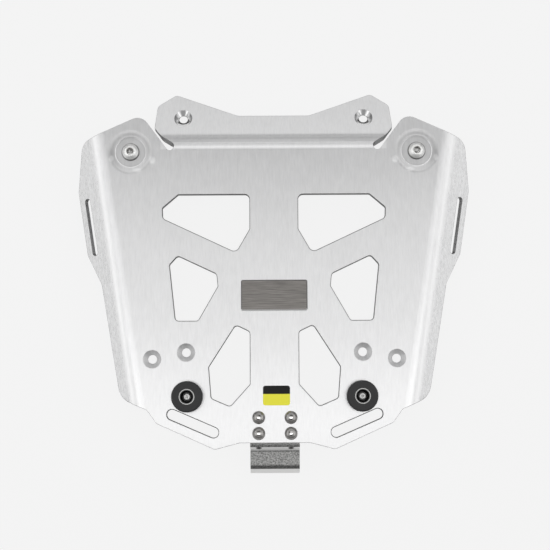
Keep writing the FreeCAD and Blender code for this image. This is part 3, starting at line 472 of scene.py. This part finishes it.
def plain_metal(name, color, roughness, scale, depth, spread=0.04, mottle=0.82):
    # small steel pieces: even tone with fine uneven polish
    material, tree, shader = new_material(name, color, roughness, 1.0)
    uneven = add_node(tree, "ShaderNodeGroup", node_tree=UNEVEN_POLISH)
    uneven.inputs["Scale"].default_value = scale
    link(tree, object_coord(tree), uneven.inputs["Coord"])
    sway = math_node(tree, "MULTIPLY", uneven.outputs["Sway"], spread)
    link(tree, math_node(tree, "ADD", sway, roughness), shader.inputs["Roughness"])
    dark = tuple(part * mottle for part in color)
    link(tree, mix_color(tree, uneven.outputs["Tone"], dark, color), shader.inputs["Base Color"])
    link(tree, bump(tree, uneven.outputs["Height"], depth, 0.6), shader.inputs["Normal"])
    return material


def socket_glint_spot(material, columns, rows, reach, polish, drilled=0.0):
    # painted highlight: a whiter, more polished spot on the floor of the socket of each screw at these places
    tree = material.node_tree
    shader = tree.nodes["Principled BSDF"]
    place = add_node(tree, "ShaderNodeSeparateXYZ")
    link(tree, object_coord(tree), place.inputs[0])
    side = math_node(tree, "ABSOLUTE", place.outputs[0])
    shine = None
    for row in rows:
        spot = spot_mask(tree, side, place.outputs[1], (columns, row), reach)
        shine = spot if shine is None else math_node(tree, "ADD", shine, spot, True)
    shine = math_node(tree, "MULTIPLY", shine, 1.6, True)
    before = shader.inputs["Base Color"].links[0].from_socket
    link(tree, mix_color(tree, shine, before, (0.96, 0.96, 0.95)), shader.inputs["Base Color"])
    rough = shader.inputs["Roughness"].links[0].from_socket
    link(tree, darken(tree, rough, shine, polish), shader.inputs["Roughness"])
    if drilled:
        # the drill point left in the middle of the floor
        before = shader.inputs["Normal"].links[0].from_socket
        link(tree, bump(tree, math_node(tree, "MULTIPLY", shine, -1.0), drilled, 1.0, before), shader.inputs["Normal"])


def head_shade_lines(material):
    # painted shade: dark lines round the foot of the two large heads and in the mouth of their sockets
    tree = material.node_tree
    shader = tree.nodes["Principled BSDF"]
    place = add_node(tree, "ShaderNodeSeparateXYZ")
    link(tree, object_coord(tree), place.inputs[0])
    side = math_node(tree, "ABSOLUTE", place.outputs[0])
    foot_shade = ring_mask(tree, side, place.outputs[1], (DISH_X, DISH_Y), HEAD_RIM, 0.75 * MM)
    before = shader.inputs["Base Color"].links[0].from_socket
    mouth_shade = ring_mask(tree, side, place.outputs[1], (DISH_X, DISH_Y), SOCKET_MOUTH, 0.55 * MM)
    foot_shaded = mix_color(tree, foot_shade, before, (0.04, 0.04, 0.04))
    link(tree, mix_color(tree, mouth_shade, foot_shaded, (0.26, 0.25, 0.24)), shader.inputs["Base Color"])


def latch_material():
    # blasted steel in coarse speckles, with soft painted shade below each adjusting slot, a painted highlight on its
    # step and lip and painted shade in the bend above the lip
    material, tree, shader = new_material("blasted_steel", (0.40, 0.40, 0.39), 0.42, 1.0)
    coord = object_coord(tree)
    speckle = add_node(tree, "ShaderNodeTexNoise")
    speckle.inputs["Scale"].default_value = 950.0
    speckle.inputs["Detail"].default_value = 2.0
    speckle.inputs["Roughness"].default_value = 0.7
    link(tree, coord, speckle.inputs["Vector"])
    grain = map_range(tree, speckle.outputs["Fac"], 0.35, 0.65, 0.0, 1.0)
    blasted = mix_color(tree, grain, (0.15, 0.15, 0.148), (0.49, 0.49, 0.481))
    place = add_node(tree, "ShaderNodeSeparateXYZ")
    link(tree, coord, place.inputs[0])
    bend_shade = band_mask(tree, place.outputs[1], *BEND_SHADE_BAND, 0.6 * MM)
    blasted = mix_color(tree, math_node(tree, "MULTIPLY", bend_shade, 0.5), blasted, (0.06, 0.06, 0.06))
    side = math_node(tree, "ABSOLUTE", place.outputs[0])
    # painted shade spot below each slot
    slot_shade = spot_mask(tree, side, place.outputs[1], SLOT_SHADE_MIDDLE, SLOT_SHADE_REACH)
    # painted highlight on the step, white and not metallic
    after_top = map_range(tree, place.outputs[1], LATCH_HIGHLIGHT_FROM, LATCH_HIGHLIGHT_FROM - 0.4 * MM, 0.0, 1.0)
    before_flat = map_range(tree, place.outputs[1], LATCH_HIGHLIGHT_TO + 0.4 * MM, LATCH_HIGHLIGHT_TO, 1.0, 0.0)
    step_highlight = math_node(tree, "MULTIPLY", after_top, before_flat)
    # painted highlight on the sloping faces of the lip
    facing = add_node(tree, "ShaderNodeSeparateXYZ")
    link(tree, add_node(tree, "ShaderNodeTexCoord").outputs["Normal"], facing.inputs[0])
    sloping = band_mask(tree, facing.outputs[2], 0.40, 0.68, 0.05)
    on_lip = map_range(tree, place.outputs[1], LIP_FROM, LIP_FROM - 0.3 * MM, 0.0, 1.0)
    lip_highlight = math_node(tree, "MULTIPLY", sloping, on_lip)
    highlighted = mix_color(tree, math_node(tree, "MAXIMUM", step_highlight, lip_highlight), blasted, (0.96, 0.96, 0.95))
    link(tree, mix_color(tree, slot_shade, highlighted, (0.10, 0.10, 0.10)), shader.inputs["Base Color"])
    unshaded = math_node(tree, "SUBTRACT", 1.0, slot_shade)
    highlight_matt = math_node(tree, "MULTIPLY", step_highlight, unshaded)
    link(tree, map_range(tree, highlight_matt, 0.0, 1.0, 1.0, 0.05), shader.inputs["Metallic"])
    link(tree, math_node(tree, "ADD", math_node(tree, "MULTIPLY", grain, 0.14), 0.34), shader.inputs["Roughness"])
    calm = map_range(tree, math_node(tree, "MAXIMUM", step_highlight, lip_highlight), 0.0, 1.0, 1.0, 0.2)
    blasting = math_node(tree, "MULTIPLY", speckle.outputs["Fac"], calm)
    link(tree, bump(tree, blasting, 0.1 * MM, 0.7), shader.inputs["Normal"])
    return material


def badge_material():
    # warm grey metal brushed from side to side, with painted light and shade on its bevelled rim
    material, tree, shader = new_material("brushed_badge", (0.30, 0.285, 0.27), 0.34, 1.0)
    coord = object_coord(tree)
    turn = add_node(tree, "ShaderNodeMapping")
    turn.inputs["Rotation"].default_value = (0.0, 0.0, math.radians(90))
    link(tree, coord, turn.inputs["Vector"])
    grain = add_node(tree, "ShaderNodeGroup", node_tree=BRUSHING)
    grain.inputs["Across"].default_value = 3600.0
    grain.inputs["Along"].default_value = 55.0
    link(tree, turn.outputs[0], grain.inputs["Coord"])
    lines = map_range(tree, grain.outputs["Lines"], 0.36, 0.64, 0.0, 1.0)
    brushed = mix_color(tree, lines, (0.150, 0.142, 0.135), (0.30, 0.286, 0.27))
    facing = add_node(tree, "ShaderNodeSeparateXYZ")
    link(tree, add_node(tree, "ShaderNodeTexCoord").outputs["Normal"], facing.inputs[0])
    # painted highlight on rim slopes facing the viewer, painted shade on the other slopes and on the walls
    rim = map_range(tree, facing.outputs[2], 0.97, 0.90, 0.0, 1.0)
    wall = map_range(tree, facing.outputs[2], 0.5, 0.3, 0.0, 1.0)
    near = map_range(tree, facing.outputs[1], -0.1, -0.4, 0.0, 1.0)
    slope_light_and_shade = mix_color(tree, near, (0.22, 0.215, 0.21), (0.97, 0.97, 0.96))
    rim_light_and_shade = mix_color(tree, wall, slope_light_and_shade, (0.05, 0.05, 0.05))
    link(tree, mix_color(tree, rim, brushed, rim_light_and_shade), shader.inputs["Base Color"])
    link(tree, bump(tree, grain.outputs["Lines"], 0.00005, 0.6), shader.inputs["Normal"])
    return material


def rubber_material():
    material, tree, shader = new_material("black_rubber", (0.030, 0.030, 0.031), 0.62)
    noise = add_node(tree, "ShaderNodeTexNoise")
    noise.inputs["Scale"].default_value = 2400.0
    noise.inputs["Detail"].default_value = 5.0
    link(tree, object_coord(tree), noise.inputs["Vector"])
    tone = map_range(tree, noise.outputs["Fac"], 0.3, 0.7, 0.0, 1.0)
    link(tree, mix_color(tree, tone, (0.017, 0.017, 0.018), (0.032, 0.032, 0.033)), shader.inputs["Base Color"])
    link(tree, bump(tree, noise.outputs["Fac"], 0.00008, 0.5), shader.inputs["Normal"])
    return material


CUP_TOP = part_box("pad_cup_left")[1][2]
CUP_MIDDLE = (70.4 * MM, -35.6 * MM)
CUP_LINE = 5.75 * MM


def cup_material():
    # turned steel rim with a dark inner edge, over a dull inside painted black as shade
    material, tree, shader = new_material("turned_cup", (0.70, 0.70, 0.69), 0.24, 1.0)
    coord = object_coord(tree)
    place = add_node(tree, "ShaderNodeSeparateXYZ")
    link(tree, coord, place.inputs[0])
    noise = add_node(tree, "ShaderNodeTexNoise")
    noise.inputs["Scale"].default_value = 1500.0
    link(tree, coord, noise.inputs["Vector"])
    bright = mix_color(tree, noise.outputs["Fac"], (0.36, 0.36, 0.355), (0.50, 0.50, 0.49))
    # painted shade: the inside of the cup black
    inside = map_range(tree, place.outputs[2], CUP_TOP - 0.9 * MM, CUP_TOP - 0.4 * MM, 1.0, 0.0)
    side = math_node(tree, "ABSOLUTE", place.outputs[0])
    rim = disc_mask(tree, side, place.outputs[1], CUP_MIDDLE, CUP_LINE, 0.25 * MM)
    bright = mix_color(tree, rim, bright, (0.06, 0.06, 0.06))
    link(tree, mix_color(tree, inside, bright, (0.012, 0.012, 0.012)), shader.inputs["Base Color"])
    link(tree, math_node(tree, "ADD", math_node(tree, "MULTIPLY", inside, 0.4), 0.22), shader.inputs["Roughness"])
    return material


LABEL_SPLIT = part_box("blank_label")[1][1] - 6.7 * MM


def label_material():
    # printed film in two plain fields, dark above and yellow below
    material, tree, shader = new_material("two_field_film", (0.84, 0.80, 0.06), 0.32)
    place = add_node(tree, "ShaderNodeSeparateXYZ")
    link(tree, object_coord(tree), place.inputs[0])
    field = math_node(tree, "GREATER_THAN", place.outputs[1], LABEL_SPLIT)
    noise = add_node(tree, "ShaderNodeTexNoise")
    noise.inputs["Scale"].default_value = 1500.0
    link(tree, object_coord(tree), noise.inputs["Vector"])
    yellow = mix_color(tree, noise.outputs["Fac"], (0.90, 0.86, 0.055), (0.97, 0.93, 0.08))
    dark = mix_color(tree, noise.outputs["Fac"], (0.004, 0.004, 0.004), (0.009, 0.009, 0.008))
    link(tree, mix_color(tree, field, yellow, dark), shader.inputs["Base Color"])
    shader.inputs["Specular IOR Level"].default_value = 0.2
    link(tree, bump(tree, noise.outputs["Fac"], 0.00002, 0.4), shader.inputs["Normal"])
    return material


MATERIALS = {
    "plate": sheet_material(),
    "latch": latch_material(),
    "screws": plain_metal("polished_screw", (0.97, 0.97, 0.96), 0.42, 600.0, 0.000004, 0.02, 0.95),
    "washers": plain_metal("plain_washer", (0.66, 0.66, 0.65), 0.34, 1200.0, 0.00002),
    "nuts": plain_metal("plain_nut", (0.64, 0.64, 0.63), 0.30, 1200.0, 0.00002),
    "rubber": rubber_material(),
    "cups": cup_material(),
    "badge": badge_material(),
    "label": label_material(),
}
DULL_SCREW = plain_metal("dull_screw", (0.40, 0.39, 0.38), 0.22, 900.0, 0.00001)


def middle_of(node):
    low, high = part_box(node)
    return ((low[0] + high[0]) / 2.0, (low[1] + high[1]) / 2.0)


LATCH_ROWS = sorted({round(middle_of("latch_screw_%d" % (index + 1))[1], 5) for index in range(4)})
LATCH_COLUMN = abs(middle_of("latch_screw_1")[0])
socket_glint_spot(DULL_SCREW, LATCH_COLUMN, [row - 0.3 * MM for row in LATCH_ROWS], (1.7 * MM, 0.75 * MM), 0.1)
head_shade_lines(MATERIALS["screws"])
socket_glint_spot(MATERIALS["screws"], DISH_X, [DISH_Y + 0.3 * MM], (2.0 * MM, 1.7 * MM), 0.25, 0.7 * MM)
for part in frame["record"]["subparts"]:
    piece = NODES[part["node"]]
    piece.data.materials.clear()
    piece.data.materials.append(MATERIALS[part["material_slot"]])


# threaded shanks below the screw heads
THREAD_STEPS = 28
TOOTH_DEPTH = 0.6134  # of the pitch
TOOTH_FLAT = 0.125  # of the pitch


def select_where(piece, test):
    # selects the vertices of a piece in edit mode that pass a test
    bpy.ops.mesh.select_mode(type="VERT")
    bpy.ops.mesh.select_all(action="DESELECT")
    shape = bmesh.from_edit_mesh(piece.data)
    for vertex in shape.verts:
        vertex.select = test(vertex.co)
    shape.select_flush(True)
    bmesh.update_edit_mesh(piece.data)


def apply_modifier(piece, name):
    bpy.context.view_layer.objects.active = piece
    bpy.ops.object.modifier_apply(modifier=name)


def one_point():
    # a mesh of one vertex at the world origin
    bpy.ops.mesh.primitive_plane_add(size=1.0 * MM, location=(0.0, 0.0, 0.0))
    piece = bpy.context.object
    bpy.ops.object.mode_set(mode="EDIT")
    bpy.ops.mesh.select_all(action="SELECT")
    bpy.ops.mesh.merge(type="CENTER")
    return piece


def threaded_shank(name, middle, radius, pitch, top, end):
    # one turn of the tooth outline, swept by the Screw modifier, cut flat and chamfered at the end
    depth = TOOTH_DEPTH * pitch
    flat = TOOTH_FLAT * pitch
    flank_shade = 0.5 * (pitch - 2.0 * flat)
    turns = math.ceil((top - end) / pitch) + 2
    deselect()
    piece = one_point()
    piece.name = name
    bpy.ops.transform.translate(value=(radius - depth, 0.0, end - 1.5 * pitch))
    for move in ((0.0, 0.0, flat), (depth, 0.0, flank_shade), (0.0, 0.0, flat), (-depth, 0.0, flank_shade)):
        bpy.ops.mesh.extrude_region_move(TRANSFORM_OT_translate={"value": move})
    bpy.ops.object.mode_set(mode="OBJECT")
    sweep = piece.modifiers.new("sweep", "SCREW")
    sweep.axis = "Z"
    sweep.angle = math.tau
    sweep.screw_offset = pitch
    sweep.iterations = turns
    sweep.steps = THREAD_STEPS
    sweep.render_steps = THREAD_STEPS
    sweep.use_merge_vertices = True
    sweep.merge_threshold = 0.0001 * MM
    apply_modifier(piece, "sweep")
    bpy.ops.object.mode_set(mode="EDIT")
    bpy.ops.mesh.select_all(action="SELECT")
    bpy.ops.mesh.remove_doubles(threshold=0.0005 * MM)
    for height, lower, upper in ((top, False, True), (end, True, False)):
        bpy.ops.mesh.select_all(action="SELECT")
        bpy.ops.mesh.bisect(plane_co=(0.0, 0.0, height), plane_no=(0.0, 0.0, 1.0), use_fill=True,
                            clear_inner=lower, clear_outer=upper)
    bpy.ops.mesh.select_all(action="SELECT")
    bpy.ops.transform.translate(value=(middle[0], middle[1], 0.0))
    bpy.ops.mesh.normals_make_consistent(inside=False)
    bpy.ops.object.mode_set(mode="OBJECT")
    chamfer_end(piece, middle, radius, depth, end, top)
    return piece


def chamfer_end(piece, middle, radius, depth, end, top):
    # keeps what lies inside a rod with a chamfered end
    deselect()
    tall = top - end + 2.0 * MM
    bpy.ops.mesh.primitive_cylinder_add(vertices=48, radius=radius + 0.001 * MM, depth=tall,
                                        location=(middle[0], middle[1], end + 0.5 * tall))
    rod = bpy.context.object
    bpy.ops.object.transform_apply(location=True, rotation=True, scale=True)
    bpy.ops.object.mode_set(mode="EDIT")
    select_where(rod, lambda point: point.z < end + 0.01 * MM)
    bpy.ops.mesh.bevel(offset=depth * 1.1, segments=1, affect="EDGES")
    bpy.ops.object.mode_set(mode="OBJECT")
    deselect()
    piece.select_set(True)
    cut = piece.modifiers.new("chamfer", "BOOLEAN")
    cut.operation = "INTERSECT"
    cut.solver = "EXACT"
    cut.object = rod
    apply_modifier(piece, "chamfer")
    deselect()
    rod.select_set(True)
    bpy.ops.object.delete()


def head_of(node, cut_height):
    # merged copy of a screw with its plain shank cut off at the head
    deselect()
    source = NODES[node]
    piece = bpy.data.objects.new(node + "_head", source.data.copy())
    bpy.context.collection.objects.link(piece)
    bpy.context.view_layer.objects.active = piece
    piece.select_set(True)
    bpy.ops.object.mode_set(mode="EDIT")
    bpy.ops.mesh.select_all(action="SELECT")
    bpy.ops.mesh.remove_doubles(threshold=0.001 * MM)
    bpy.ops.mesh.select_all(action="SELECT")
    bpy.ops.mesh.bisect(plane_co=(0.0, 0.0, cut_height), plane_no=(0.0, 0.0, 1.0), use_fill=True, clear_inner=True)
    bpy.ops.mesh.select_all(action="SELECT")
    bpy.ops.mesh.normals_make_consistent(inside=False)
    bpy.ops.object.mode_set(mode="OBJECT")
    return piece


def threaded_screw(node, radius, pitch, head_height, material):
    low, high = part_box(node)
    middle = middle_of(node)
    head_bottom = high[2] - head_height
    head = head_of(node, head_bottom - 0.3 * MM)
    shank = threaded_shank(node + "_threaded", middle, radius, pitch, head_bottom - 0.25 * MM, low[2])
    deselect()
    head.select_set(True)
    shank.select_set(True)
    bpy.context.view_layer.objects.active = shank
    bpy.ops.object.join()
    shank.data.materials.clear()
    shank.data.materials.append(material)
    bpy.ops.object.shade_smooth_by_angle(angle=math.radians(28))
    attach(shank, "rack")
    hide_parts(node)


SCREW_FINISH = {"latch": DULL_SCREW, "ear": MATERIALS["screws"],
                "pad": plain_metal("bright_screw", (0.98, 0.98, 0.97), 0.50, 700.0, 0.00001, 0.05, 0.8)}
SCREWS = [("latch_screw_%d" % (index + 1), 3.0, 1.0, 3.3) for index in range(4)]
SCREWS += [("ear_screw_" + side, 4.0, 1.25, 4.4) for side in ("left", "right")]
SCREWS += [("pad_screw_" + side, 2.0, 0.7, 2.2) for side in ("left", "right")]
for name, radius, pitch, head_height in SCREWS:
    material = SCREW_FINISH[name.split("_")[0]]
    threaded_screw(name, radius * MM, pitch * MM, head_height * MM, material)


# floor: nearly evenly bright to the camera, with a faint shadow
FLOOR_SEEN_SHARE = 0.95
FLOOR_TONE = 0.913
FLOOR_Z = CAD_BOX[0][2]


def add_floor():
    deselect()
    bpy.ops.mesh.primitive_plane_add(size=6.0, location=(0.0, 0.0, FLOOR_Z))
    floor = bpy.context.object
    floor.name = "table"
    material, tree, shader = new_material("pale_table", (0.90, 0.90, 0.90), 0.8)
    glow = add_node(tree, "ShaderNodeEmission")
    glow.inputs["Color"].default_value = (FLOOR_TONE, FLOOR_TONE, FLOOR_TONE, 1.0)
    glow.inputs["Strength"].default_value = 1.0
    path = add_node(tree, "ShaderNodeLightPath")
    blend = add_node(tree, "ShaderNodeMixShader")
    seen = math_node(tree, "MULTIPLY", path.outputs["Is Camera Ray"], FLOOR_SEEN_SHARE)
    link(tree, seen, blend.inputs[0])
    link(tree, shader.outputs[0], blend.inputs[1])
    link(tree, glow.outputs[0], blend.inputs[2])
    link(tree, blend.outputs[0], tree.nodes["Material Output"].inputs["Surface"])
    floor.data.materials.append(material)


add_floor()
